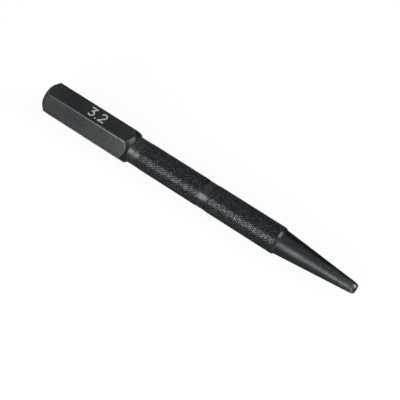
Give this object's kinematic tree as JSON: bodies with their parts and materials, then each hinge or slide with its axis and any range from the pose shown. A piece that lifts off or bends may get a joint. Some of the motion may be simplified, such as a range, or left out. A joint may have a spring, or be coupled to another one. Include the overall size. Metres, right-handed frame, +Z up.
{
  "type": "nail set",
  "caption": "Steel nail set with a hexagonal striking head, a knurled round grip and a tapered, cupped tip that drives nail heads below the surface.",
  "frame": {"origin": "on the surface that the tool lies on, below the middle of its length", "axes": "+X along the tool from the striking face to the tip, +Z up through the head's marked flat"},
  "size_m": [0.1018, 0.0104, 0.0093],
  "materials": {
    "blackened_steel": "black oxide, satin",
    "mark_paint": "matte enamel fill in a stamped number"
  },
  "bodies": {
    "root": {"punch": "blackened_steel", "size_mark": "mark_paint"}
  },
  "joints": []
}
